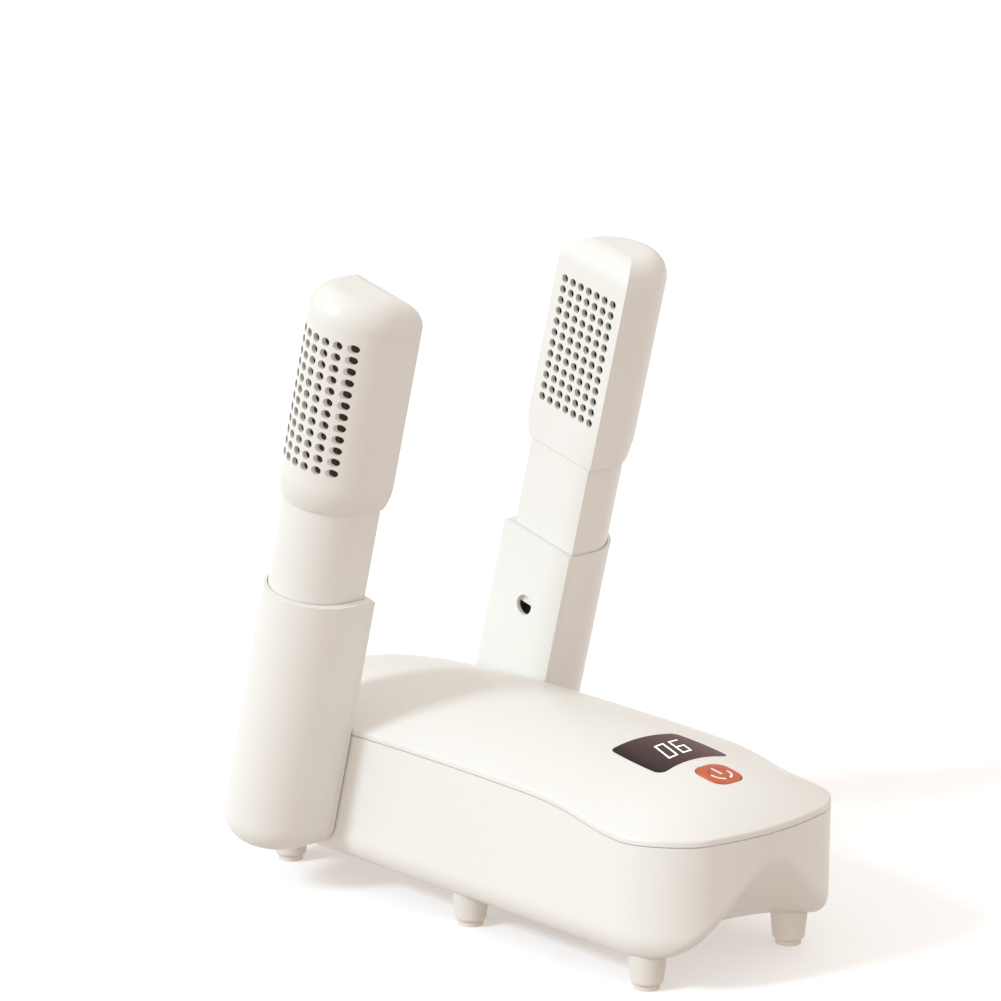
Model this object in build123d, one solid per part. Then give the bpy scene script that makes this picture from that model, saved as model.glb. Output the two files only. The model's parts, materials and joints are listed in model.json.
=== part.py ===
from build123d import *
import os
from math import atan2, cos, exp, pi, radians, sin, sqrt

# A two-arm boot dryer. Origin: on the floor, under the middle of the base.
# +Z is up, the display end faces -Y, and the two arms stand at the -X and +X sides.
# Lengths are in millimetres and angles in degrees.

# ---- base shell ----
body_length = 273.6
body_half_width = 54.0
underside_z = 12.5
wall = 2.5
corner_radius = 31.0
end_bow_radius = 112.0         # slight bow of the front and rear ends
bottom_rounding = 13.0
cover_wall = 2.4               # also the height of the cover's visible edge
cover_edge_rounding = 1.0
seam_gap = 0.4
tongue_wall = 1.6
tongue_height = 6.0
front_y = -body_length / 2
rear_y = body_length / 2

# Crown of the cover: place as a share of the half length, height on the centre line,
# and how much lower it is at body_half_width.
crown = [
    (-1.096, 54.5, 8.6),
    (-0.994, 65.4, 9.3),
    (-0.914, 72.3, 11.2),
    (-0.819, 77.5, 13.8),
    (-0.687, 80.4, 14.9),
    (-0.541, 82.2, 12.6),
    (-0.329, 84.2, 12.4),
    (0.037, 85.4, 12.9),
    (0.439, 84.6, 12.6),
    (0.760, 81.0, 11.2),
    (0.936, 75.6, 9.3),
    (1.096, 63.5, 7.0),
]

# Bell-shaped arch under the nose: distance behind the front, and rise on the centre line.
arch = [(58.8, 0.0), (44.8, 0.3), (34.8, 3.4), (23.8, 10.5), (11.8, 22.0), (0.8, 37.5), (-9.2, 58.0)]
arch_spread = 33.0             # half width at a third of the rise
arch_start = 0.4               # how far below the underside the arch begins
arch_rounding = 6.0
arch_rim = 8.0                 # edges of the arch this near the front are rounded

# ---- legs ----
leg_x = body_half_width - 13.7
leg_y = (front_y + 29.3, -5.6, rear_y - 29.3)
leg_top_radius = 7.7
leg_bottom_radius = 6.5
leg_edge_radius = 2.0
pad_radius = 5.2
pad_height = 2.0
leg_spigot_radius = 3.0
leg_spigot_top = 22.0

# ---- gaps ----
slip = 0.25                    # between pieces that are pushed together
bearing_gap = 0.05             # round a turning or sliding shaft
running_gap = 0.3              # between pieces that move past each other
overrun = 1.0                  # how far a cutter runs past the face it opens
low_level = -30.0              # under the whole base
high_level = 120.0             # over the whole base

# ---- arm housing, tube and head ----
arm_gap = 0.8                  # between the base wall and the arm's inner face
arm_lean = 14.0
arm_fold = 76.0
pivot_y = rear_y - 56.3
pivot_z = 42.0
arm_width = 41.6
arm_depth = 37.0
arm_flat = 13.0                # straight part of the D section's sides
arm_below_pivot = 21.0
arm_above_pivot = 95.4
arm_end_rounding = 12.0
arm_wall = 2.2
plate_wall = 2.0
neck_height = 8.0              # top of the housing, closed in round the tube
arm_pillar_radius = 2.8
arm_screw_radius = 1.2
arm_screw_head = 2.3
arm_screw_sink = 1.2
arm_screw_length = 12.0
tube_width = arm_width - 5.6
tube_shift = (arm_width - tube_width) / 2 - 1.3    # towards the flush side of the housing
tube_depth = arm_depth - 5.2
tube_flat = arm_flat - 2.0
tube_wall = 1.8
tube_engaged = 31.8            # tube length held in the housing when fully out
tube_above_head_seat = 14.0
tube_shown = 40.4
stop_height = 8.0
stop_reach = (5.0, 13.0)       # place of the tube's catch across the housing's depth
window_radius = 4.4
head_length = 92.0
head_depth = arm_depth + 1.0
head_flat = arm_flat + 0.5
head_wall = 2.2
head_step = 0.8
head_inner_face = 1.6
head_top_rounding = 11.0
flare_height = 12.0
flare_steps = [(0.0, 0.0), (0.4, 0.62), (0.75, 0.93), (1.0, 1.0)]    # shares of height and of flare
vent_pitch = 4.9
vent_radius = 1.75
vent_columns = 7
vent_rows = 12
vent_first = 19.7              # first row above the head's seat

# ---- pivot ----
hub_radius = 11.5
hub_bore = hub_radius - 2.0
hub_flange_radius = hub_radius + 2.1
hub_flange = 2.0
hub_groove = 0.6
hub_inner_x = body_half_width - 15.0
bush_radius = hub_radius + 2.5
bush_flange_radius = hub_radius + 4.9
bush_flange = 1.6
retainer_radius = hub_radius + 2.1
retainer_wall = 2.0
lug_angle = 24.0
lug_rest_angle = 100.0
lug_margin = 0.6
stop_angle = 16.0

# ---- air path ----
pipe_radius = hub_bore - 0.3
pipe_wall = 1.5
pipe_end_x = body_half_width - 4.0
duct_half_width = 22.0
duct_low_z = 22.0
duct_high_z = 62.0
duct_wall = 1.6
duct_behind_pipe = 2.0
heater_front_y = pivot_y - 51.5
heater_depth = 14.0
heater_wall = 2.0
heater_rows = 3
heater_bar = 2.2
fin_pitch = 2.5
fin_slot = 1.6
cutout_radius = 6.0
cutout_height = 5.0
fan_size = 50.0
fan_depth = 15.0
fan_bore = 23.5
fan_z = 42.0
fan_gap = 1.0
fan_hub_radius = 9.0
fan_cup_back = 5.0             # thickness of the rotor's closed front
fan_spider = 2.0
fan_spider_width = 3.0
fan_tip_gap = 0.8
fan_blades = 7
fan_blade_chord = 11.0
fan_blade_wall = 1.4
fan_blade_pitch = 40.0
motor_radius = 6.5
shaft_radius = 1.0
grille_y = heater_front_y - 56.0
grille_length = 60.0
grille_width = 50.0
grille_wall = 1.6
grille_lip = 3.0
grille_border = 4.0
slot_width = 2.6
slot_pitch = 5.2
filter_depth = 2.5
filter_inset = 2.0

# ---- display and button ----
display_x = 1.2                # the display sits a little to the reader's right
display_y = (front_y + 44.9, front_y + 75.2)
display_half_front = 19.6
display_half_rear = 18.4
display_corner = 3.6
display_side_bow = 0.9
display_front_bow = 2.2
display_rear_bow = 1.2
lens_wall = 1.6
lens_ledge = 2.0
lens_gap = 0.1
digit_x = 3.6
digit_y = front_y + 60.6
digit_width = 6.2
digit_height = 13.6
digit_pitch = 9.2
digit_stroke = 1.0
digit_lean = 18.0              # slant of the uprights
digit_rise = 8.0               # slope of the baseline
inlay_depth = 0.35
button_y = front_y + 31.6
button_size = 16.2
button_corner = 5.8
button_gap = 0.35
button_proud = 0.3
button_edge_rounding = 0.8
button_flange = 1.5
button_flange_drop = 0.3
button_flange_reach = 1.5
button_stem_radius = 2.2
icon_stroke = 1.1
icon_stem = 6.2
icon_stem_shift = 1.2
icon_ring = 4.5
icon_ring_shift = -0.8
icon_arc = (-72.0, 74.0)       # start and sweep of the ring's right-hand part

# ---- circuit board ----
board_z = 62.0
board_wall = 1.6
board_top = board_z + board_wall
board_half_width = body_half_width / 2
board_y = (front_y + 19.8, front_y + 78.8)
board_places = [(board_half_width - 3.5, front_y + 75.8), (board_half_width - 5.0, front_y + 23.3)]
board_boss_radius = 2.6
board_screw_radius = 1.1
board_screw_head = 2.0
board_screw_head_wall = 1.4
board_screw_bite = 6.0
module_half = (13.0, 8.5)
module_top = 76.0
switch_size = 6.4
switch_height = 4.0
plunger_radius = 1.5
plunger_bottom = board_top + 1.8
plunger_top = board_top + 5.4
plunger_well = 0.5

# ---- screws through the base, and the cord's entry ----
screw_radius = 1.5
screw_head_radius = 3.0
screw_head = 2.0
screw_seat = 20.0
screw_bite = 12.0
screw_slack = 0.1
pillar_radius = 4.2
pillar_top = 50.0
pillar_joint = 0.2             # between a pillar and the cover's boss above it
pillar_places = [
    (body_half_width - 11.0, front_y + 75.8),
    (body_half_width - 10.5, heater_front_y),
    (body_half_width - 20.0, rear_y - 19.8),
]
gland_z = 36.0
gland_bore = 3.2
gland_radius = 6.0
gland_lip = 2.0
gland_depth = 3.0
gland_stand_off = 0.4          # between the lip and the bowed wall

# ---- worked-out values ----
arm_face_x = body_half_width + arm_gap
tube_bottom = arm_above_pivot - tube_engaged
head_seat = arm_above_pivot + tube_shown
tube_top = head_seat + tube_above_head_seat
head_top = head_seat + head_length
nodes = {}


def cylinder_between(radius, start, end):
    """Round bar from one point to another."""
    axis = Vector(*end) - Vector(*start)
    return extrude(Plane(Vector(*start), z_dir=axis) * Circle(radius), axis.length)


def box_between(low, high):
    """Box from its lowest corner to its highest."""
    size = [b - a for a, b in zip(low, high)]
    return Pos(*low) * Box(*size, align=(Align.MIN,) * 3)


# ---------------------------------------------------------------- base envelope
def plan(inset=0.0):
    """Outline of the base seen from above, moved inwards by inset: bowed ends and round corners."""
    corner = corner_radius - inset
    bow = end_bow_radius - inset
    bow_y = end_bow_radius - rear_y
    corner_x = body_half_width - corner_radius
    corner_y = bow_y - sqrt((end_bow_radius - corner_radius) ** 2 - corner_x ** 2)
    meet = atan2(corner_x, bow_y - corner_y)

    def on_corner(angle):
        return (corner_x + corner * cos(angle), corner_y - corner * sin(angle))

    def on_bow(angle):
        return (bow * sin(angle), bow_y - bow * cos(angle))

    finish = pi / 2 - meet
    quarter = make_face([
        Line((body_half_width - inset, 0), on_corner(0)),
        ThreePointArc(on_corner(0), on_corner(finish / 2), on_corner(finish)),
        ThreePointArc(on_corner(finish), on_bow(meet / 2), on_bow(0)),
        Line(on_bow(0), (0, 0)),
        Line((0, 0), (body_half_width - inset, 0)),
    ])
    right = quarter + mirror(quarter, Plane.XZ)
    return right + mirror(right, Plane.YZ)


def below_crown(drop=0.0):
    """Everything under the cover's crown, lowered by drop."""
    sections = []
    reach = 1.15 * body_half_width
    for share, ridge, fall in crown:
        y = share * rear_y
        edge = ridge - fall * (reach / body_half_width) ** 2
        left, right = (-reach, edge - drop), (reach, edge - drop)
        top = Bezier(left, (0, 2 * ridge - edge - drop), right)
        foot = Polyline(right, (reach, low_level), (-reach, low_level), left)
        sections.append(Plane((0, y, 0), x_dir=(1, 0, 0), z_dir=(0, -1, 0)) * make_face([top, foot]))
    return loft(sections)


def under_arch(inset=0.0):
    """Everything under the arch: a bell across the base that rises towards the front, raised by inset."""
    sections = []
    reach = 1.2 * body_half_width
    level = underside_z - arch_start + inset
    across = [step * reach / 6 for step in range(-6, 7)]
    for behind, rise in arch:
        curve = [(x, level + rise * exp(-((x / arch_spread) ** 2))) for x in across]
        foot = Polyline(curve[-1], (reach, low_level), (-reach, low_level), curve[0])
        plane = Plane((0, front_y + behind, 0), x_dir=(1, 0, 0), z_dir=(0, -1, 0))
        sections.append(plane * make_face([Spline(*curve), foot]))
    return loft(sections)


def at_height(shape, z):
    """Edges of a shape that lie at height z."""
    return shape.edges().filter_by_position(Axis.Z, z - 0.01, z + 0.01)


def block(inset=0.0):
    """Base envelope without its crown: rounded under, with an arch under the nose."""
    low = underside_z + inset
    body = Pos(0, 0, low) * extrude(plan(inset), high_level)
    body = fillet(at_height(body, low), bottom_rounding - inset)
    body -= under_arch(inset)
    curved = body.edges().filter_by(GeomType.BSPLINE)
    rim = [edge for edge in curved if edge.bounding_box().min.Y < front_y + arch_rim]
    return fillet(rim, arch_rounding - inset)


def sides(inset=0.0):
    """Vertical prism on the plan outline."""
    return extrude(plan(inset), high_level)


def layer(outline, top_drop, bottom_drop):
    """Part of a vertical prism that lies between two copies of the crown."""
    return (extrude(outline, high_level) & below_crown(top_drop)) - below_crown(bottom_drop)


def each_side(places):
    """Both mirror images of each (x, y) place."""
    return [(side * x, y) for x, y in places for side in (-1, 1)]


# ---------------------------------------------------------------- base pieces
def base_housing():
    """Open-topped tub with screw pillars and holes for the hubs, the inlet and the cord."""
    shell = (block() & below_crown(cover_wall + seam_gap)) - block(wall)
    envelope = block()
    for x, y in each_side(pillar_places):
        shell += cylinder_between(pillar_radius, (x, y, 0), (x, y, pillar_top)) & envelope
    for x, y in each_side(pillar_places):
        shell -= cylinder_between(screw_radius + screw_slack, (x, y, 0), (x, y, pillar_top + overrun))
        shell -= cylinder_between(screw_head_radius + slip, (x, y, 0), (x, y, screw_seat))
    for side in (-1, 1):
        inner = side * (body_half_width - wall - overrun)
        outer = side * (body_half_width + overrun)
        shell -= cylinder_between(bush_radius, (inner, pivot_y, pivot_z), (outer, pivot_y, pivot_z))
    shell -= inlet_block(0.0, underside_z - overrun, underside_z + wall + overrun)
    for x in (-leg_x, leg_x):
        for y in leg_y:
            shell -= cylinder_between(leg_spigot_radius, (x, y, 0), (x, y, leg_spigot_top))
    shell -= cylinder_between(gland_radius, (0, rear_y - 4 * wall, gland_z), (0, rear_y + overrun, gland_z))
    return shell


def top_cover():
    """Crowned cover with a tongue inside the tub, screw bosses, and lens and button openings."""
    skin = sides() & below_crown()
    skin = fillet(skin.faces().sort_by(Axis.Z)[-1].edges(), cover_edge_rounding)
    skin -= below_crown(cover_wall)
    tongue_out = wall + slip
    ring = plan(tongue_out) - plan(tongue_out + tongue_wall)
    skin += layer(ring, cover_wall, cover_wall + tongue_height)
    for x, y in each_side(pillar_places):
        skin += boss(pillar_radius - seam_gap, x, y, pillar_top + pillar_joint)
    for x, y in each_side(board_places):
        skin += boss(board_boss_radius, x, y, board_top)
    for x, y in each_side(pillar_places):
        skin -= cylinder_between(screw_radius, (x, y, pillar_top), (x, y, pillar_top + screw_bite))
    for x, y in each_side(board_places):
        tip = board_top + board_screw_bite
        skin -= cylinder_between(board_screw_radius, (x, y, board_top), (x, y, tip))
    skin -= layer(display_outline(0.0), -overrun, lens_wall)
    skin -= extrude(display_outline(lens_ledge), high_level)
    skin -= extrude(button_outline(button_gap), high_level)
    return skin


def boss(radius, x, y, z):
    """Round boss that hangs from the cover's underside down to height z."""
    return cylinder_between(radius, (x, y, z), (x, y, high_level)) & below_crown(cover_wall)


def display_outline(inset):
    """Four bowed sides with round corners; the side next to the button curves inwards."""
    front, rear = display_y[0] + inset, display_y[1] - inset
    wide, narrow = display_half_front - inset, display_half_rear - inset
    middle = (front + rear) / 2
    bulge = (wide + narrow) / 2 + display_side_bow
    face = make_face([
        ThreePointArc((-wide, front), (0, front + display_front_bow), (wide, front)),
        ThreePointArc((wide, front), (bulge, middle), (narrow, rear)),
        ThreePointArc((narrow, rear), (0, rear + display_rear_bow), (-narrow, rear)),
        ThreePointArc((-narrow, rear), (-bulge, middle), (-wide, front)),
    ])
    return Pos(display_x, 0) * fillet(face.vertices(), display_corner - inset)


def button_outline(outset):
    """Square with very round corners."""
    size = button_size + 2 * outset
    return Pos(0, button_y) * RectangleRounded(size, size, button_corner + outset)


def segment_digits():
    """The number 06 in slanted bars, for a reader in front of the base."""
    half_w, half_h, half_bar = digit_width / 2, digit_height / 2, digit_stroke / 2
    left = (-half_w, -half_h, digit_stroke - half_w, half_h)
    right = (half_w - digit_stroke, -half_h, half_w, half_h)
    top = (-half_w, half_h - digit_stroke, half_w, half_h)
    bottom = (-half_w, -half_h, half_w, digit_stroke - half_h)
    middle = (-half_w, -half_bar, half_w, half_bar)
    lower_right = (half_w - digit_stroke, -half_h, half_w, half_bar)
    lean, rise = radians(digit_lean), radians(digit_rise)
    shapes = []
    for place, bars in ((-0.5, (left, right, top, bottom)), (0.5, (left, top, middle, bottom, lower_right))):
        face = None
        for low_u, low_v, high_u, high_v in bars:
            corners = [(low_u, low_v), (high_u, low_v), (high_u, high_v), (low_u, high_v), (low_u, low_v)]
            points = []
            for u, v in corners:
                along = u + place * digit_pitch
                x = digit_x + along * cos(rise) + v * sin(lean)
                points.append((x, digit_y + along * sin(rise) + v * cos(lean)))
            bar = make_face(Polyline(*points))
            face = bar if face is None else face + bar
        shapes.append(face)
    return shapes


def button_icon():
    """An open ring with a stem, as on a power switch."""
    shapes = [Pos(0, button_y + icon_stem_shift) * SlotOverall(icon_stem, icon_stroke, rotation=90)]
    start, sweep = icon_arc
    for first in (start, 180 - start - sweep):
        arc = CenterArc((0, 0), icon_ring, first, sweep)
        shapes.append(Pos(0, button_y + icon_ring_shift) * SlotArc(arc, icon_stroke))
    return shapes


def lens_parts():
    """Smoked lens that follows the crown, and the lit bars let into its face."""
    lens = layer(display_outline(lens_gap), 0.0, lens_wall)
    bars = [layer(shape, 0.0, inlay_depth) for shape in segment_digits()]
    for bar in bars:
        lens -= bar
    nodes["display_lens"] = lens
    nodes["display_digits"] = Compound(children=[solid for bar in bars for solid in bar.solids()])


def button_parts():
    """Cap with a hidden flange, its inlaid mark and the switch plunger under its stem."""
    cap = layer(button_outline(0.0), -button_proud, cover_wall + button_flange_drop + button_flange)
    cap = fillet(cap.faces().sort_by(Axis.Z)[-1].edges(), button_edge_rounding)
    flange_top = cover_wall + button_flange_drop
    cap += layer(button_outline(button_flange_reach), flange_top, flange_top + button_flange)
    cap += boss(button_stem_radius, 0, button_y, plunger_top)
    marks = [layer(shape, -button_proud, -button_proud + inlay_depth) for shape in button_icon()]
    for mark in marks:
        cap -= mark
    nodes["power_button"] = cap
    nodes["button_mark"] = Compound(children=[solid for mark in marks for solid in mark.solids()])
    nodes["switch_plunger"] = cylinder_between(
        plunger_radius, (0, button_y, plunger_bottom), (0, button_y, plunger_top))


def board_parts():
    """Circuit board under the cover, with the display block and the button's switch on it."""
    board = box_between((-board_half_width, board_y[0], board_z), (board_half_width, board_y[1], board_top))
    for x, y in each_side(board_places):
        hole = board_screw_radius + screw_slack
        board -= cylinder_between(hole, (x, y, board_z - overrun), (x, y, board_top + overrun))
    nodes["control_board"] = board
    nodes["display_module"] = box_between(
        (-module_half[0], digit_y - module_half[1], board_top),
        (module_half[0], digit_y + module_half[1], module_top))
    switch = Pos(0, button_y, board_top) * Box(
        switch_size, switch_size, switch_height, align=(Align.CENTER, Align.CENTER, Align.MIN))
    switch -= cylinder_between(
        plunger_radius + bearing_gap, (0, button_y, board_top + plunger_well), (0, button_y, high_level))
    nodes["tact_switch"] = switch
    screws = []
    for x, y in each_side(board_places):
        shank = cylinder_between(board_screw_radius, (x, y, board_z), (x, y, board_top + board_screw_bite))
        head_low = board_z - board_screw_head_wall
        screws.append(shank + cylinder_between(board_screw_head, (x, y, head_low), (x, y, board_z)))
    nodes["board_screws"] = Compound(children=screws)


def leg_parts():
    """Six tapered legs, each spigoted into the tub, with a soft pad underneath."""
    envelope = block()
    top_z = underside_z + bottom_rounding
    slope = (leg_top_radius - leg_bottom_radius) / underside_z
    for x, side in ((-leg_x, "left"), (leg_x, "right")):
        for y, row in zip(leg_y, ("front", "middle", "rear")):
            cone = Pos(x, y, pad_height) * Cone(
                leg_bottom_radius, leg_bottom_radius + slope * (top_z - pad_height), top_z - pad_height,
                align=(Align.CENTER, Align.CENTER, Align.MIN))
            cone = fillet(cone.edges().sort_by(Axis.Z)[0], leg_edge_radius)
            spigot_low = pad_height + leg_edge_radius
            spigot = cylinder_between(leg_spigot_radius, (x, y, spigot_low), (x, y, leg_spigot_top))
            leg = (cone - envelope).solids().sort_by(SortBy.VOLUME)[-1] + spigot
            nodes[f"leg_{row}_{side}"] = leg
            nodes[f"foot_pad_{row}_{side}"] = cylinder_between(pad_radius, (x, y, 0), (x, y, pad_height))


def inlet_block(inset, low, high):
    """Box over the air inlet's footprint."""
    half_x, half_y = grille_width / 2 - inset, grille_length / 2 - inset
    return box_between((-half_x, grille_y - half_y, low), (half_x, grille_y + half_y, high))


def inlet_parts():
    """Slotted grille let into the underside, and the dust filter that lies on it."""
    floor = underside_z + wall
    grille = inlet_block(slip, underside_z, floor)
    flange = inlet_block(-grille_lip, floor, floor + grille_wall)
    grille += flange
    count = int((grille_length - 2 * grille_border) / slot_pitch)
    for i in range(count):
        y = grille_y + (i - (count - 1) / 2) * slot_pitch
        slot = Pos(0, y, underside_z - overrun) * SlotOverall(grille_width - 2 * grille_border, slot_width)
        grille -= extrude(slot, wall + grille_wall + 2 * overrun)
    nodes["inlet_grille"] = grille
    filter_low = floor + grille_wall
    nodes["dust_filter"] = inlet_block(filter_inset, filter_low, filter_low + filter_depth)


def fan_parts():
    """Axial fan standing across the base: frame, motor and a bladed rotor on its shaft."""
    back = heater_front_y - fan_gap
    front = back - fan_depth
    half = fan_size / 2
    frame = box_between((-half, front, fan_z - half), (half, back, fan_z + half))
    frame -= cylinder_between(fan_bore, (0, front - overrun, fan_z), (0, back + overrun, fan_z))
    motor_back = back - fan_spider
    for turn in range(4):
        half_arm = fan_spider_width / 2
        arm = box_between((motor_radius, motor_back, -half_arm), (fan_bore + overrun, back, half_arm))
        frame += Pos(0, 0, fan_z) * Rot(0, 45 + 90 * turn, 0) * arm
    frame += cylinder_between(fan_hub_radius, (0, motor_back, fan_z), (0, back, fan_z))
    nodes["fan_frame"] = frame
    motor_front = front + fan_cup_back
    motor = cylinder_between(motor_radius, (0, motor_front, fan_z), (0, motor_back, fan_z))
    shaft_end = motor_back - 1.5 * overrun
    bore_end = motor_back - overrun
    motor -= cylinder_between(shaft_radius + bearing_gap, (0, front, fan_z), (0, bore_end, fan_z))
    nodes["fan_motor"] = motor
    cup_back = motor_back - running_gap
    cup_front = front + fan_tip_gap
    hub = cylinder_between(fan_hub_radius, (0, cup_front, fan_z), (0, cup_back, fan_z))
    cup_floor = motor_front - running_gap
    hub -= cylinder_between(motor_radius + running_gap, (0, cup_floor, fan_z), (0, back, fan_z))
    hub += cylinder_between(shaft_radius, (0, cup_front, fan_z), (0, shaft_end, fan_z))
    blade_reach = fan_bore - fan_tip_gap
    half_chord = fan_blade_chord / 2
    half_wall = fan_blade_wall / 2
    root = motor_radius + 2 * running_gap
    blade = box_between((root, -half_chord, -half_wall), (blade_reach, half_chord, half_wall))
    blade = Rot(fan_blade_pitch, 0, 0) * blade
    blade -= cylinder_between(fan_hub_radius - fan_blade_wall / 2, (0, -half_chord, 0), (0, half_chord, 0))
    for i in range(fan_blades):
        hub += Pos(0, (cup_front + cup_back) / 2, fan_z) * Rot(0, i * 360 / fan_blades, 0) * blade
    hub = hub & cylinder_between(blade_reach, (0, cup_front, fan_z), (0, cup_back, fan_z))
    nodes["fan_rotor"] = hub


def heater_parts():
    """Heater frame, finned heating block and thermal cut-out."""
    front, back = heater_front_y, heater_front_y + heater_depth
    half = duct_half_width
    frame = box_between((-half, front, duct_low_z), (half, back, duct_high_z))
    inside = half - heater_wall
    low_z, high_z = duct_low_z + heater_wall, duct_high_z - heater_wall
    frame -= box_between((-inside, front - overrun, low_z), (inside, back + overrun, high_z))
    nodes["heater_frame"] = frame
    core = box_between((-inside, front + heater_wall, low_z), (inside, back - heater_wall, high_z))
    width = 2 * inside
    count = int(width / fin_pitch)
    for i in range(count):
        x = (i - (count - 1) / 2) * fin_pitch
        for low, high in heater_bays():
            core -= box_between((x - fin_slot / 2, front, low), (x + fin_slot / 2, back, high))
    nodes["heater_core"] = core
    middle = (front + back) / 2
    nodes["thermal_cutout"] = cylinder_between(
        cutout_radius, (0, middle, duct_high_z), (0, middle, duct_high_z + cutout_height))


def heater_bays():
    """Height ranges of the fin rows between the heating bars."""
    low, high = duct_low_z + heater_wall, duct_high_z - heater_wall
    step = (high - low) / heater_rows
    gap = heater_bar / 2
    return [(low + i * step + gap, low + (i + 1) * step - gap) for i in range(heater_rows)]


def air_manifold():
    """Box behind the heater that splits into a cross pipe feeding both hubs."""
    front = heater_front_y + heater_depth
    half = duct_half_width
    back = pivot_y + pipe_radius + duct_behind_pipe
    outer = box_between((-half, front, duct_low_z), (half, back, duct_high_z))
    outer += cylinder_between(pipe_radius, (-pipe_end_x, pivot_y, pivot_z), (pipe_end_x, pivot_y, pivot_z))
    inner = box_between(
        (-half + duct_wall, front - overrun, duct_low_z + duct_wall),
        (half - duct_wall, back - duct_wall, duct_high_z - duct_wall))
    reach = pipe_end_x + overrun
    inner += cylinder_between(pipe_radius - pipe_wall, (-reach, pivot_y, pivot_z), (reach, pivot_y, pivot_z))
    return outer - inner


def body_screws():
    """Six screws from the underside into the cover's bosses."""
    screws = []
    for x, y in each_side(pillar_places):
        shank = cylinder_between(screw_radius, (x, y, screw_seat), (x, y, pillar_top + screw_bite))
        screw_low = screw_seat - screw_head
        screws.append(shank + cylinder_between(screw_head_radius, (x, y, screw_low), (x, y, screw_seat)))
    return Compound(children=screws)


def cord_gland():
    """Rubber bush for the mains lead, flush with the rear wall and flanged inside it."""
    inner = rear_y - wall
    gland = cylinder_between(gland_radius, (0, inner - gland_depth, gland_z), (0, rear_y, gland_z))
    lip_low = inner - gland_depth
    lip_high = inner - gland_stand_off
    gland += cylinder_between(gland_radius + gland_lip, (0, lip_low, gland_z), (0, lip_high, gland_z))
    bore_low, bore_high = lip_low - overrun, rear_y + overrun
    return gland - cylinder_between(gland_bore, (0, bore_low, gland_z), (0, bore_high, gland_z))


def ring_sector(inner, outer, start, sweep, x_low, x_high):
    """Piece of a ring about the pivot axis, between two angles measured from +Y towards +Z."""
    ring = cylinder_between(outer, (x_low, 0, 0), (x_high, 0, 0))
    ring -= cylinder_between(inner, (x_low - overrun, 0, 0), (x_high + overrun, 0, 0))
    reach = 4 * outer
    first, last = radians(start), radians(start + sweep)
    wedge = make_face(Polyline(
        (0, 0), (reach * cos(first), reach * sin(first)), (reach * cos(last), reach * sin(last)), (0, 0)))
    wedge = Plane((x_low - overrun, 0, 0), x_dir=(0, 1, 0), z_dir=(1, 0, 0)) * wedge
    return ring & extrude(wedge, x_high - x_low + 2 * overrun)


def at_pivot(shape, side):
    """Place a shape modelled about the +X pivot at the pivot of one side."""
    if side < 0:
        shape = mirror(shape, Plane.YZ)
    return Pos(0, pivot_y, pivot_z) * shape


def hub_bush(side):
    """Flanged bearing in the tub wall, with the two stops that limit the fold."""
    inner_wall = body_half_width - wall
    bush = cylinder_between(bush_radius, (inner_wall, 0, 0), (body_half_width, 0, 0))
    bush += cylinder_between(bush_flange_radius, (inner_wall - bush_flange, 0, 0), (inner_wall, 0, 0))
    bush -= cylinder_between(hub_radius + bearing_gap, (0, 0, 0), (high_level, 0, 0))
    stop_low = inner_wall - bush_flange - retainer_wall - running_gap
    for start in (lug_rest_angle - stop_angle, lug_rest_angle + lug_angle + arm_fold):
        bush += ring_sector(
            retainer_radius + running_gap, bush_flange_radius, start, stop_angle,
            stop_low, inner_wall - bush_flange)
    return at_pivot(bush, side)


def hub_retainer(side):
    """Ring on the hub's inner end that keeps the arm on, with the lug that meets the stops."""
    high = body_half_width - wall - bush_flange - running_gap
    low = high - retainer_wall
    ring = cylinder_between(retainer_radius, (low, 0, 0), (high, 0, 0))
    ring -= cylinder_between(hub_radius - hub_groove, (0, 0, 0), (high_level, 0, 0))
    start, sweep = lug_rest_angle + lug_margin, lug_angle - 2 * lug_margin
    ring += ring_sector(retainer_radius - overrun, bush_flange_radius, start, sweep, low, high)
    return at_pivot(ring, side)


# ---------------------------------------------------------------- arm pieces
def arm_place(side):
    """Frame of one arm: origin on the pivot, local Y outwards, local Z up the arm."""
    lean = radians(arm_lean)
    up = Vector(0, -sin(lean), cos(lean))
    out = Vector(side, 0, 0)
    return Plane(Vector(side * arm_face_x, pivot_y, pivot_z), x_dir=out.cross(up), z_dir=up)


def d_section(x_low, x_high, y_low, y_high, flat):
    """Flat on the side nearest the base, straight flanks, elliptical on the far side."""
    middle = (x_low + x_high) / 2
    half = (x_high - x_low) / 2
    spring_line = y_low + flat
    box = Pos(middle, (y_low + spring_line) / 2) * Rectangle(2 * half, flat)
    dome = Pos(middle, spring_line) * Ellipse(half, y_high - spring_line)
    dome &= Pos(middle, (spring_line + y_high) / 2) * Rectangle(2 * half, y_high - spring_line)
    return box + dome


def prism(section, low, high):
    """Section carried along local Z."""
    return Pos(0, 0, low) * extrude(section, high - low)


def housing_section():
    return d_section(-arm_width / 2, arm_width / 2, 0, arm_depth, arm_flat)


def tube_section(outset=0.0):
    low = plate_wall + running_gap
    half = tube_width / 2 + outset
    high = low + tube_depth
    return d_section(tube_shift - half, tube_shift + half, low - outset, high + outset, tube_flat + outset)


def housing_outside():
    """Closed outer form of the arm housing."""
    form = prism(housing_section(), -arm_below_pivot, arm_above_pivot)
    curved = [edge for edge in at_height(form, -arm_below_pivot) if edge.center().Y > running_gap]
    return fillet(curved, arm_end_rounding)


def arm_pillars():
    """Centres of the four screw pillars, in local X and Z."""
    low_x, high_x = arm_width / 2 - 8.3, arm_width / 2 - 5.8
    low_z, high_z = 8.5 - arm_below_pivot, hub_radius + 7.5
    return [(-low_x, low_z), (low_x, low_z), (-high_x, high_z), (high_x, high_z)]


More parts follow.
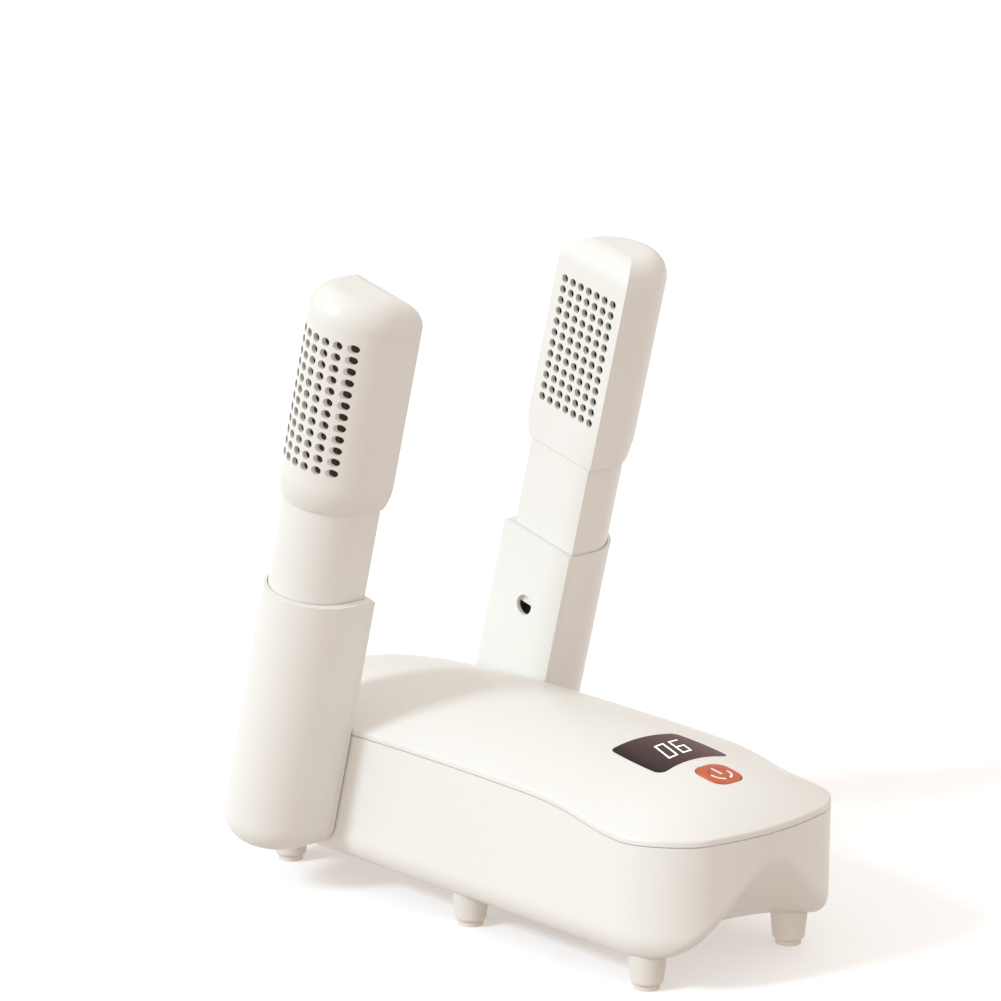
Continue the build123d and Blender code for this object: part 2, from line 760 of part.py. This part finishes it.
def arm_shell():
    """Outer half of the arm housing."""
    outer_part = box_between((-arm_width, plate_wall, low_level), (arm_width, 2 * arm_depth, high_level))
    outside = housing_outside() & outer_part
    flush = tube_shift + tube_width / 2 + running_gap
    room = d_section(-arm_width / 2 + arm_wall, flush, plate_wall - overrun, arm_depth - arm_wall, arm_flat)
    floor = arm_wall - arm_below_pivot
    cavity = prism(room, floor, arm_above_pivot - neck_height)
    low = [edge for edge in at_height(cavity, floor) if edge.center().Y > plate_wall]
    cavity = fillet(low, arm_end_rounding - arm_wall)
    shell = outside - cavity
    top = arm_above_pivot + overrun
    shell -= prism(tube_section(running_gap), 0, top)
    shell -= box_between((2 * tube_shift - flush, plate_wall - overrun, 0), (flush, 2 * plate_wall, top))
    for x, z in arm_pillars():
        shell += cylinder_between(arm_pillar_radius, (x, plate_wall, z), (x, arm_depth, z)) & outside
    for x, z in arm_pillars():
        shell -= cylinder_between(arm_screw_radius, (x, 0, z), (x, arm_screw_length, z))
    return shell


def arm_plate():
    """Flat inner side of the housing, with the hub hole and the small window."""
    plate = housing_outside() & box_between((-arm_width, 0, low_level), (arm_width, plate_wall, high_level))
    low, high = -overrun, plate_wall + overrun
    plate -= cylinder_between(hub_radius, (0, low, 0), (0, high, 0))
    plate -= cylinder_between(window_radius, (0, low, tube_bottom), (0, high, tube_bottom))
    for x, z in arm_pillars():
        plate -= cylinder_between(arm_screw_radius + screw_slack, (x, low, z), (x, high, z))
        plate -= cylinder_between(arm_screw_head + screw_slack, (x, low, z), (x, arm_screw_sink, z))
    return plate


def arm_screws():
    """Four countersunk screws that hold the plate to the shell."""
    screws = []
    for x, z in arm_pillars():
        shank = cylinder_between(arm_screw_radius, (x, arm_screw_sink, z), (x, arm_screw_length, z))
        screws.append(shank + cylinder_between(arm_screw_head, (x, slip, z), (x, arm_screw_sink, z)))
    return Compound(children=screws)


def pivot_hub():
    """Hollow hub: flange inside the housing, neck through the tub wall, groove for its retainer."""
    reach = arm_face_x - hub_inner_x
    hub = cylinder_between(hub_radius, (0, -reach, 0), (0, plate_wall, 0))
    hub += cylinder_between(hub_flange_radius, (0, plate_wall, 0), (0, plate_wall + hub_flange, 0))
    hub -= cylinder_between(hub_bore, (0, -reach - overrun, 0), (0, plate_wall + hub_flange + overrun, 0))
    high = -(arm_gap + wall + bush_flange + running_gap)
    groove = cylinder_between(hub_radius + overrun, (0, high - retainer_wall, 0), (0, high, 0))
    groove -= cylinder_between(hub_radius - hub_groove, (0, high - retainer_wall, 0), (0, high, 0))
    return hub - groove


def tube():
    """Telescopic tube, open at both ends."""
    low = plate_wall + running_gap
    half = tube_width / 2
    bore = d_section(
        tube_shift - half + tube_wall, tube_shift + half - tube_wall,
        low + tube_wall, low + tube_depth - tube_wall, tube_flat - tube_wall)
    outside = prism(tube_section(), tube_bottom, tube_top)
    return outside - prism(bore, tube_bottom - overrun, tube_top + overrun)


def tube_stop():
    """Catch on the tube's stepped flank that meets the housing's neck at full reach."""
    flank = tube_shift - tube_width / 2
    top = arm_above_pivot - neck_height - running_gap
    inner = arm_wall + running_gap - arm_width / 2
    return box_between((inner, stop_reach[0], top - stop_height), (flank, stop_reach[1], top))


def head():
    """Perforated blowing head, flared out from the tube on its stepped and outer sides."""
    half = arm_width / 2
    low = plate_wall + running_gap
    flank = tube_shift - tube_width / 2

    def flare(part, height):
        section = d_section(
            -half * part + (flank - head_step) * (1 - part), half, head_inner_face,
            head_depth * part + (low + tube_depth + head_step) * (1 - part),
            head_flat * part + (tube_flat + head_step) * (1 - part))
        return Pos(0, 0, head_seat + height) * section

    skirt = loft([flare(part, height * flare_height) for height, part in flare_steps])
    upper = Pos(0, 0, head_seat + flare_height) * extrude(
        d_section(-half, half, head_inner_face, head_depth, head_flat), head_length - flare_height)
    upper = fillet(upper.faces().sort_by(Axis.Z)[-1].edges(), head_top_rounding)
    outside = skirt + upper
    room = d_section(
        head_wall - half, half - head_wall,
        head_inner_face + head_wall, head_depth - head_wall, head_flat - head_wall)
    cavity = prism(room, tube_top, head_top - head_wall)
    cavity = fillet(cavity.faces().sort_by(Axis.Z)[-1].edges(), head_top_rounding - head_wall)
    cavity += prism(tube_section(), head_seat - overrun, tube_top)
    shape = outside - cavity
    holes = []
    for row in range(vent_rows):
        for column in range(vent_columns):
            x = (column - (vent_columns - 1) / 2) * vent_pitch
            z = head_seat + vent_first + row * vent_pitch
            holes.append(cylinder_between(vent_radius, (x, -overrun, z), (x, head_depth + overrun, z)))
    return shape - holes


def arm_parts():
    """Both arms: the same pieces, turned half round about their own length."""
    for side, name in ((-1, "left"), (1, "right")):
        place = arm_place(side).location
        nodes[f"arm_shell_{name}"] = place * arm_shell()
        nodes[f"arm_plate_{name}"] = place * arm_plate()
        nodes[f"arm_screws_{name}"] = place * arm_screws()
        nodes[f"pivot_hub_{name}"] = place * pivot_hub()
        nodes[f"hub_retainer_{name}"] = hub_retainer(side)
        nodes[f"hub_bush_{name}"] = hub_bush(side)
        nodes[f"tube_{name}"] = place * tube()
        nodes[f"tube_stop_{name}"] = place * tube_stop()
        nodes[f"head_{name}"] = place * head()


def build_all():
    nodes["base_housing"] = base_housing()
    nodes["top_cover"] = top_cover()
    lens_parts()
    button_parts()
    board_parts()
    leg_parts()
    inlet_parts()
    fan_parts()
    heater_parts()
    nodes["air_manifold"] = air_manifold()
    nodes["body_screws"] = body_screws()
    nodes["cord_gland"] = cord_gland()
    arm_parts()


build_all()
os.makedirs("parts", exist_ok=True)
for name, shape in nodes.items():
    export_step(shape, f"parts/{name}.step")
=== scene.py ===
import json
from math import cos, pi, radians, sin

import bmesh
import bpy
from mathutils import Matrix, Vector


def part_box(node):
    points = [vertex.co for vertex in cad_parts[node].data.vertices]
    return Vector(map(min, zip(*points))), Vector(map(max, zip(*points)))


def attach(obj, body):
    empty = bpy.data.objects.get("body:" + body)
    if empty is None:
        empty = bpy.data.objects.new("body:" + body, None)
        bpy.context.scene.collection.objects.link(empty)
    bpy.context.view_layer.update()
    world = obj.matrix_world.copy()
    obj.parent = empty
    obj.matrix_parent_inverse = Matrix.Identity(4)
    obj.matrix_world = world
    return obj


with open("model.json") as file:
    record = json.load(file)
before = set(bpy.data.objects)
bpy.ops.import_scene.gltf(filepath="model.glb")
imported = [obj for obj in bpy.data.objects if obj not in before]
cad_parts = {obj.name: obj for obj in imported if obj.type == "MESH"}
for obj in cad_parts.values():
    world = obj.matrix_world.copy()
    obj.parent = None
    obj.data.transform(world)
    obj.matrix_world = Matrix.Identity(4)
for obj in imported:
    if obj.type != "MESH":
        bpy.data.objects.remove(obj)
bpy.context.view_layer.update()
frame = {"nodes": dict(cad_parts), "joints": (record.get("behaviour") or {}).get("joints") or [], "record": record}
nodes = frame["nodes"]
joints = {joint["name"]: joint for joint in frame["joints"]}
scene = bpy.context.scene


# ---------------------------------------------------------------- shader tools
def linear(red, green, blue):
    """Scene colour of an 8-bit screen colour."""
    def channel(value):
        value /= 255
        return value / 12.92 if value <= 0.04045 else ((value + 0.055) / 1.055) ** 2.4
    return (channel(red), channel(green), channel(blue), 1.0)


class Signal:
    """A number that changes over a surface. Arithmetic on it adds Math nodes."""

    def __init__(self, finish, socket):
        self.finish = finish
        self.socket = socket

    def maths(self, operation, *values, clamp=False):
        settings = {"operation": operation, "use_clamp": clamp}
        return self.finish.add("Math", settings, dict(enumerate(values)))

    def __add__(self, other):
        return self.maths("ADD", self, other)

    def __mul__(self, other):
        return self.maths("MULTIPLY", self, other)

    def __sub__(self, other):
        return self.maths("SUBTRACT", self, other)

    def __rsub__(self, other):
        return self.maths("SUBTRACT", other, self)

    def __truediv__(self, other):
        return self.maths("DIVIDE", self, other)

    def __abs__(self):
        return self.maths("ABSOLUTE", self)

    __radd__ = __add__
    __rmul__ = __mul__

    def greater(self, other):
        return self.maths("MAXIMUM", self, other)

    def root(self):
        return self.maths("SQRT", self)

    def wave(self, pitch):
        """Sine of a place, one turn to each pitch."""
        turns = self * (2 * pi / pitch)
        return self.maths("SINE", turns)

    def ramp(self, low, high):
        """0 below low, 1 above high, straight in between."""
        return self.maths("DIVIDE", self - low, high - low, clamp=True)


class Finish:
    """A material with one Principled shader, and short calls for the nodes in front of it."""

    def __init__(self, name, **fixed):
        self.material = bpy.data.materials.new(name)
        self.material.use_nodes = True
        self.tree = self.material.node_tree
        self.shader = self.tree.nodes["Principled BSDF"]
        self.place = self.add("TexCoord", output="Object")
        for socket, value in fixed.items():
            self.shader.inputs[socket.replace("_", " ")].default_value = value

    def add(self, kind, settings=None, inputs=None, output=0):
        """Any node: its type, its settings, and the values or links of its sockets."""
        node = self.tree.nodes.new("ShaderNode" + kind)
        for key, value in (settings or {}).items():
            setattr(node, key, value)
        for key, value in (inputs or {}).items():
            if isinstance(value, Signal):
                self.tree.links.new(value.socket, node.inputs[key])
            else:
                node.inputs[key].default_value = value
        return Signal(self, node.outputs[output])

    def noise(self, scale, detail=2.0, roughness=0.5, place=None):
        inputs = {
            "Vector": place or self.place,
            "Scale": scale,
            "Detail": detail,
            "Roughness": roughness,
        }
        return self.add("TexNoise", None, inputs, output="Fac")

    def axis(self, name, place=None):
        return self.add("SeparateXYZ", None, {0: place or self.place}, output=name)

    def moved(self, centre, turn=(0.0, 0.0, 0.0), scale=(1.0, 1.0, 1.0)):
        """Object coordinates about a centre."""
        difference = {0: self.place, 1: tuple(centre)}
        shifted = self.add("VectorMath", {"operation": "SUBTRACT"}, difference)
        return self.add("Mapping", None, {"Vector": shifted, "Rotation": turn, "Scale": scale})

    def mix(self, factor, first, second):
        inputs = {0: factor, 6: first, 7: second}
        return self.add("Mix", {"data_type": "RGBA"}, inputs, output=2)

    def feed(self, **signals):
        for socket, signal in signals.items():
            self.tree.links.new(signal.socket, self.shader.inputs[socket.replace("_", " ")])
        return self

    def relief(self, height, depth, soft_edge=0.0):
        """Bump of a given depth in metres; soft_edge rounds sharp edges in the shading."""
        inputs = {"Height": height, "Strength": 1.0, "Distance": depth}
        if soft_edge:
            rounded = self.add("Bevel", {"samples": 6}, {"Radius": soft_edge}, output="Normal")
            inputs["Normal"] = rounded
        return self.feed(Normal=self.add("Bump", None, inputs, output="Normal"))


# ---------------------------------------------------------------- finishes
GRAIN = 0.000025            # depth of the spark-eroded grain
DRIFT_SCALE = 14.0          # slow change of colour along a moulding
MOTTLE_SCALE = 420.0        # broken sheen, a few millimetres across
PORE_SCALE = 1500.0         # pores of the rubber
PORE_DEPTH = 0.00006
BRUSH_SCALE = 900.0         # lines of the brushed metal
BRUSH_DEPTH = 0.00002
TRACK_SCALE = 240.0         # copper tracks under the solder mask
TRACK_DEPTH = 0.00004
THREAD_DEPTH = 0.00012      # round of a woven thread


def satin_plastic(name, shade, light, roughness, grain_scale, grain_depth, soft_edge):
    """Moulded plastic: faint drift of colour, fine spark-eroded grain and a broken sheen."""
    finish = Finish(name, IOR=1.48)
    drift = finish.noise(DRIFT_SCALE)
    mottle = finish.noise(MOTTLE_SCALE, 3.0, 0.6)
    grain = finish.noise(grain_scale, 2.0, 0.6)
    finish.feed(
        Base_Color=finish.mix(drift * 0.75 + mottle * 0.25, shade, light),
        Roughness=mottle * 0.03 + grain * 0.08 + (roughness - 0.055))
    return finish.relief(grain, grain_depth, soft_edge)


def rubber_finish(name, shade, light):
    """Soft rubber: matt, with fine pores and pale rubbed patches."""
    finish = Finish(name, IOR=1.45)
    cells = {"Vector": finish.place, "Scale": PORE_SCALE}
    pores = finish.add("TexVoronoi", None, cells, output="Distance")
    rub = finish.noise(220.0, 4.0, 0.6)
    finish.feed(Base_Color=finish.mix(rub, shade, light), Roughness=rub * 0.2 + 0.62)
    return finish.relief(pores * 0.6 + rub * 0.4, PORE_DEPTH)


def smoked_lens_finish():
    """Polished smoked acrylic: plum, with a painted grey-blue sheen towards -X that passes into a redder body
    colour towards +X, a dark rim and a fine haze.
    """
    low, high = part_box("display_lens")
    finish = Finish("smoked acrylic", IOR=1.4, Specular_IOR_Level=0.2)
    about = finish.moved((low + high) / 2)
    across = finish.axis("X", about).ramp(-0.018, 0.016)
    side = abs(finish.axis("X", about)) / ((high.x - low.x) / 2)
    along = abs(finish.axis("Y", about)) / ((high.y - low.y) / 2)
    rim = side.greater(along).ramp(0.86, 1.0)
    cloud = finish.noise(90.0, 3.0)
    smear = finish.noise(700.0, 4.0, 0.65)
    # painted reflection: the -X end of this ramp is a grey-blue sheen, the +X end is the lens's own red-brown
    body = finish.mix(across * 0.85 + cloud * 0.15, linear(44, 30, 38), linear(78, 22, 18))
    finish.feed(
        Base_Color=finish.mix(rim * 0.5, body, linear(26, 16, 18)),
        Roughness=smear * 0.10 + 0.12)
    return finish.relief(smear, 0.000006)


def lit_digit_finish():
    """Glowing white bars with a faint sparkle."""
    finish = Finish("lit digit", Emission_Strength=1.0, IOR=1.5)
    sparkle = finish.noise(1800.0)
    glow = finish.mix(sparkle, linear(214, 220, 218), linear(250, 250, 246))
    finish.feed(Base_Color=glow, Emission_Color=glow, Roughness=sparkle * 0.1 + 0.3)
    return finish


RING_RADIUS = 0.0045        # ring pressed into the button's face
RING_SHIFT = 0.0008         # ring's centre, towards the front
RING_DEPTH = 0.00008


def button_finish():
    """Burnt orange moulding: a ring pressed into it and painted darker, as shade in its groove, and a paler band
    along the edge.
    """
    low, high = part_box("power_button")
    finish = Finish("burnt orange plastic", IOR=1.48)
    about = finish.moved((low + high) / 2)
    x, y = finish.axis("X", about), finish.axis("Y", about)
    edge = abs(x).greater(abs(y)).ramp(0.0072, 0.0081)
    ring_y = y + RING_SHIFT
    from_ring = abs((x * x + ring_y * ring_y).root() - RING_RADIUS)
    groove = 1.0 - from_ring.ramp(0.0004, 0.0009)
    drift = finish.noise(300.0, 3.0)
    grain = finish.noise(3000.0, 2.0, 0.6)
    body = finish.mix(drift, linear(192, 82, 40), linear(206, 96, 52))
    # painted shade: the pressed ring is coloured darker, as shade in its groove
    ring_shaded = finish.mix(groove * 0.7, body, linear(174, 62, 32))
    finish.feed(
        Base_Color=finish.mix(edge * 0.5, ring_shaded, linear(226, 146, 104)),
        Roughness=drift * 0.10 + 0.30)
    return finish.relief(grain * 0.3 - groove, RING_DEPTH, 0.0003)


def mesh_finish(name, dark, light, pitch, centre, turn=(0.0, 0.0, 0.0)):
    """Woven screen: round threads crossing at a right angle, with dark gaps."""
    finish = Finish(name, IOR=1.45)
    about = finish.moved(centre, turn)
    across, along, upright = (finish.axis(name, about).wave(pitch) for name in "XYZ")
    thread = across.greater(along).greater(upright).ramp(0.2, 0.9)
    fluff = finish.noise(600.0, 3.0)
    finish.feed(
        Base_Color=finish.mix(thread * 0.8 + fluff * 0.2, dark, light),
        Roughness=fluff * 0.2 + 0.6)
    return finish.relief(thread, THREAD_DEPTH)


def metal_finish(name, shade, light, roughness, brush):
    """Plated or brushed metal: fine lines along one way, and dull patches."""
    finish = Finish(name, Metallic=1.0)
    lines = finish.noise(BRUSH_SCALE, 3.0, 0.6, finish.moved((0, 0, 0), scale=brush))
    patches = finish.noise(160.0, 3.0)
    finish.feed(
        Base_Color=finish.mix(lines * 0.6 + patches * 0.4, shade, light),
        Roughness=lines * 0.14 + patches * 0.12 + (roughness - 0.12))
    return finish.relief(lines, BRUSH_DEPTH)


def board_finish():
    """Green solder mask over a faint pattern of copper tracks."""
    finish = Finish("solder mask", IOR=1.5)
    black, white = (0, 0, 0, 1), (1, 1, 1, 1)
    tracks = finish.add("TexBrick", {"offset": 0.5}, {
        "Vector": finish.place, "Scale": TRACK_SCALE, "Mortar Size": 0.03,
        "Color1": black, "Color2": black, "Mortar": white}, output="Fac")
    cloud = finish.noise(120.0, 3.0)
    body = finish.mix(tracks * 0.6 + cloud * 0.3, linear(10, 66, 34), linear(40, 116, 62))
    finish.feed(Base_Color=body, Roughness=cloud * 0.2 + 0.25)
    return finish.relief(tracks, TRACK_DEPTH)


shell_shade, shell_light = linear(235, 234, 229), linear(240, 239, 235)
# slot: name, shade, light, roughness, grain scale, grain depth, soft edge
plastics = {
    "white_shell": ("satin white shell", shell_shade, shell_light, 0.34, 2600.0, GRAIN, 0.0005),
    "white_plate": ("satin white plate", shell_shade, shell_light, 0.36, 2400.0, GRAIN, 0.0004),
    "white_tube": ("smooth white tube", shell_shade, shell_light, 0.32, 3200.0, GRAIN / 2, 0.0004),
    "white_head": ("satin white head", shell_shade, shell_light, 0.33, 2600.0, GRAIN, 0.0003),
    "white_mark": (
        "white inlay", linear(236, 232, 226), linear(252, 250, 246), 0.4, 3000.0, GRAIN, 0),
    "foot_plastic": (
        "white leg", linear(226, 222, 216), linear(236, 233, 228), 0.42, 2000.0, GRAIN, 0.0004),
    "acetal": (
        "natural acetal", linear(222, 220, 212), linear(238, 236, 228), 0.3, 1800.0, GRAIN, 0),
    "black_plastic": (
        "black moulding", linear(22, 22, 24), linear(40, 40, 42), 0.42, 2000.0, GRAIN, 0),
    "heat_plastic": (
        "brown phenolic", linear(58, 42, 32), linear(84, 64, 50), 0.5, 1400.0, GRAIN * 2, 0),
}
# slot: name, shade, light
rubbers = {
    "foot_rubber": ("pale foot rubber", linear(222, 216, 208), linear(240, 235, 228)),
    "grey_rubber": ("grey gland rubber", linear(196, 193, 188), linear(216, 213, 208)),
}
# slot: name, shade, light, roughness, stretch of the brush lines
metals = {
    "heater_alloy": (
        "bare fin alloy", linear(168, 170, 176), linear(212, 214, 218), 0.34, (1.0, 1.0, 0.05)),
    "screw_steel": (
        "zinc screw", linear(150, 152, 156), linear(206, 208, 212), 0.3, (1.0, 1.0, 1.0)),
    "switch_metal": (
        "plated case", linear(172, 174, 178), linear(220, 222, 226), 0.26, (1.0, 0.05, 1.0)),
}
finishes = {slot: satin_plastic(*recipe) for slot, recipe in plastics.items()}
finishes.update({slot: rubber_finish(*recipe) for slot, recipe in rubbers.items()})
finishes.update({slot: metal_finish(*recipe) for slot, recipe in metals.items()})
finishes["smoked_lens"] = smoked_lens_finish()
finishes["lit_digits"] = lit_digit_finish()
finishes["orange_button"] = button_finish()
finishes["circuit_board"] = board_finish()
finishes["filter_mesh"] = mesh_finish(
    "filter weave", linear(30, 31, 33), linear(104, 106, 110), 0.0011, (0, 0, 0))


def dress(piece, finish):
    piece.data.materials.clear()
    piece.data.materials.append(finish.material)


for part in frame["record"]["subparts"]:
    dress(nodes[part["node"]], finishes[part["material_slot"]])


# ---------------------------------------------------------------- dark liners behind the vents: painted shade inside the heads
HEAD_WALL = 0.0022
LINER_GAP = 0.0004          # between the head's wall and the liner
LINER_FOOT = 0.0165         # from the head's lower rim up to the liner
LINER_TOP = 0.012           # from the liner up to the head's crown
LINER_ROUND = 0.46          # round of the outer side, as a share of the liner's width
LINER_CORNER = 0.0008       # round of the two inner corners
SCREEN_PITCH = 0.0012
ARM_LEAN = radians(14)      # open arm, forward of upright
TALL_EDGE = 0.01            # an edge that rises more than this runs along the arm


def made_object(name, shape, finish):
    """Object at the origin whose mesh comes from a bmesh."""
    mesh = bpy.data.meshes.new(name)
    shape.to_mesh(mesh)
    shape.free()
    made = bpy.data.objects.new(name, mesh)
    scene.collection.objects.link(made)
    dress(made, finish)
    return made


def arm_frame(side):
    """Matrix of one arm: Y outwards from the base, Z up the arm, origin at the pivot."""
    up = Vector(joints[f"tube_slide_{side}"]["axis"]).normalized()
    out = Vector((-1 if side == "left" else 1, 0, 0))
    across = out.cross(up)
    turn = Matrix((across, out, up)).transposed().to_4x4()
    return Matrix.Translation(joints[f"arm_fold_{side}"]["pos_m"]) @ turn


def tall_edges(shape, side, middle):
    """Edges along the arm on one side of its middle: 1 is the outer side, -1 the inner."""
    def on_side(vertex):
        return side * (vertex.co.y - middle) > 0

    def tall(edge):
        return abs(edge.verts[0].co.z - edge.verts[1].co.z) > TALL_EDGE

    return [edge for edge in shape.edges if tall(edge) and all(map(on_side, edge.verts))]


def round_edges(shape, edges, radius, segments):
    bmesh.ops.bevel(
        shape, geom=edges, offset=radius, segments=segments, profile=0.5, affect="EDGES",
        material=-1)


def vent_shade_liner(side):
    """D-shaped dark woven sheet just inside the head's wall, painted shade, so the vents look into the dark."""
    place = arm_frame(side)
    inverse = place.inverted()
    corners = [inverse @ vertex.co for vertex in nodes[f"head_{side}"].data.vertices]
    low = Vector([min(corner[i] for corner in corners) for i in range(3)])
    high = Vector([max(corner[i] for corner in corners) for i in range(3)])
    inset = HEAD_WALL + LINER_GAP
    width = high.x - low.x - 2 * inset
    depth = high.y - low.y - 2 * inset
    bottom, top = low.z + LINER_FOOT, high.z - LINER_TOP
    centre = ((low.x + high.x) / 2, (low.y + high.y) / 2, (bottom + top) / 2)
    shape = bmesh.new()
    bmesh.ops.create_cube(shape, size=1.0)
    bmesh.ops.scale(shape, vec=(width, depth, top - bottom), verts=shape.verts)
    bmesh.ops.translate(shape, vec=centre, verts=shape.verts)
    round_edges(shape, tall_edges(shape, 1, centre[1]), width * LINER_ROUND, 14)
    round_edges(shape, tall_edges(shape, -1, centre[1]), LINER_CORNER, 2)
    bmesh.ops.transform(shape, matrix=place, verts=shape.verts)
    bmesh.ops.recalc_face_normals(shape, faces=shape.faces)
    # painted shade: a dark brown weave stands in for the shade inside the head
    finish = mesh_finish(
        f"painted vent shade {side}", linear(34, 20, 16), linear(70, 44, 34), SCREEN_PITCH,
        place.translation, (ARM_LEAN, 0, 0))
    liner = made_object(f"vent_shade_liner_{side}", shape, finish)
    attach(liner, f"tube_{side}")


for side in ("left", "right"):
    vent_shade_liner(side)


# ---------------------------------------------------------------- floor and light
FLOOR_SIZE = 60.0
FLOOR_GLOW = 0.24           # lifts the pale floor to the plain background


def lay_floor():
    """Plain pale floor that gives the object no coloured light from below."""
    finish = Finish(
        "pale floor", Specular_IOR_Level=0.0, Emission_Color=(1.0, 1.0, 1.0, 1.0),
        Emission_Strength=FLOOR_GLOW)
    cloud = finish.noise(2.0)
    finish.feed(
        Base_Color=finish.mix(cloud, linear(240, 243, 246), linear(244, 246, 248)),
        Roughness=cloud * 0.1 + 0.8)
    shape = bmesh.new()
    bmesh.ops.create_grid(shape, x_segments=2, y_segments=2, size=FLOOR_SIZE / 2)
    floor = made_object("floor", shape, finish)
    floor.visible_diffuse = False


def sunlight(name, towards, strength, spread, colour):
    """Soft light from far away, shining from a given side; spread in degrees."""
    lamp = bpy.data.lights.new(name, "SUN")
    lamp.energy = strength
    lamp.angle = radians(spread)
    lamp.color = colour
    holder = bpy.data.objects.new(name, lamp)
    holder.rotation_mode = "QUATERNION"
    holder.rotation_quaternion = Vector(towards).to_track_quat("Z", "Y")
    scene.collection.objects.link(holder)


lay_floor()
sunlight("key light", (-0.80, 0.19, 0.58), 1.5, 13.0, (0.80, 0.95, 1.06))

world = bpy.data.worlds.new("studio")
world.use_nodes = True
sky = world.node_tree
direction = sky.nodes.new("ShaderNodeSeparateXYZ")
sky.links.new(sky.nodes.new("ShaderNodeTexCoord").outputs["Generated"], direction.inputs[0])


def blended_wash(axis, start, end, first, second):
    """Colour that passes from first to second as the light's direction goes along an axis."""
    share = sky.nodes.new("ShaderNodeMapRange")
    share.inputs["From Min"].default_value = start
    share.inputs["From Max"].default_value = end
    sky.links.new(direction.outputs[axis], share.inputs["Value"])
    wash = sky.nodes.new("ShaderNodeMix")
    wash.data_type = "RGBA"
    sky.links.new(share.outputs["Result"], wash.inputs[0])
    for socket, colour in ((6, first), (7, second)):
        if isinstance(colour, tuple):
            wash.inputs[socket].default_value = colour
        else:
            sky.links.new(colour, wash.inputs[socket])
    return wash.outputs[2]


low_left, low_right = (0.70, 0.60, 0.535, 1.0), (0.47, 0.35, 0.29, 1.0)
overhead = (0.88, 0.815, 0.76, 1.0)
low_wash = blended_wash("X", -0.3, 0.9, low_left, low_right)
full_wash = blended_wash("Z", -0.6, 0.6, low_wash, overhead)
sky.links.new(full_wash, sky.nodes["Background"].inputs["Color"])
scene.world = world
scene.view_settings.view_transform = "Standard"


# ---------------------------------------------------------------- camera
CAMERA_AZIMUTH = radians(-43.17)
CAMERA_HEIGHT = radians(13.49)
CAMERA_ROLL = radians(0.59)
CAMERA_PLACE = (-1.1759, -1.2315, 0.5785)
CAMERA_LENS = 155.03
CAMERA_REACH = 100.0

back = Vector((
    sin(CAMERA_AZIMUTH) * cos(CAMERA_HEIGHT),
    -cos(CAMERA_AZIMUTH) * cos(CAMERA_HEIGHT),
    sin(CAMERA_HEIGHT)))
right = Vector((cos(CAMERA_AZIMUTH), sin(CAMERA_AZIMUTH), 0))
up = back.cross(right)
tilted = right * cos(CAMERA_ROLL) + up * sin(CAMERA_ROLL)
upright = up * cos(CAMERA_ROLL) - right * sin(CAMERA_ROLL)
turn = Matrix((tilted, upright, back)).transposed().to_4x4()
camera = bpy.data.objects.new("camera", bpy.data.cameras.new("camera"))
camera.matrix_world = Matrix.Translation(CAMERA_PLACE) @ turn
camera.data.lens = CAMERA_LENS
camera.data.clip_end = CAMERA_REACH
scene.collection.objects.link(camera)
scene.camera = camera
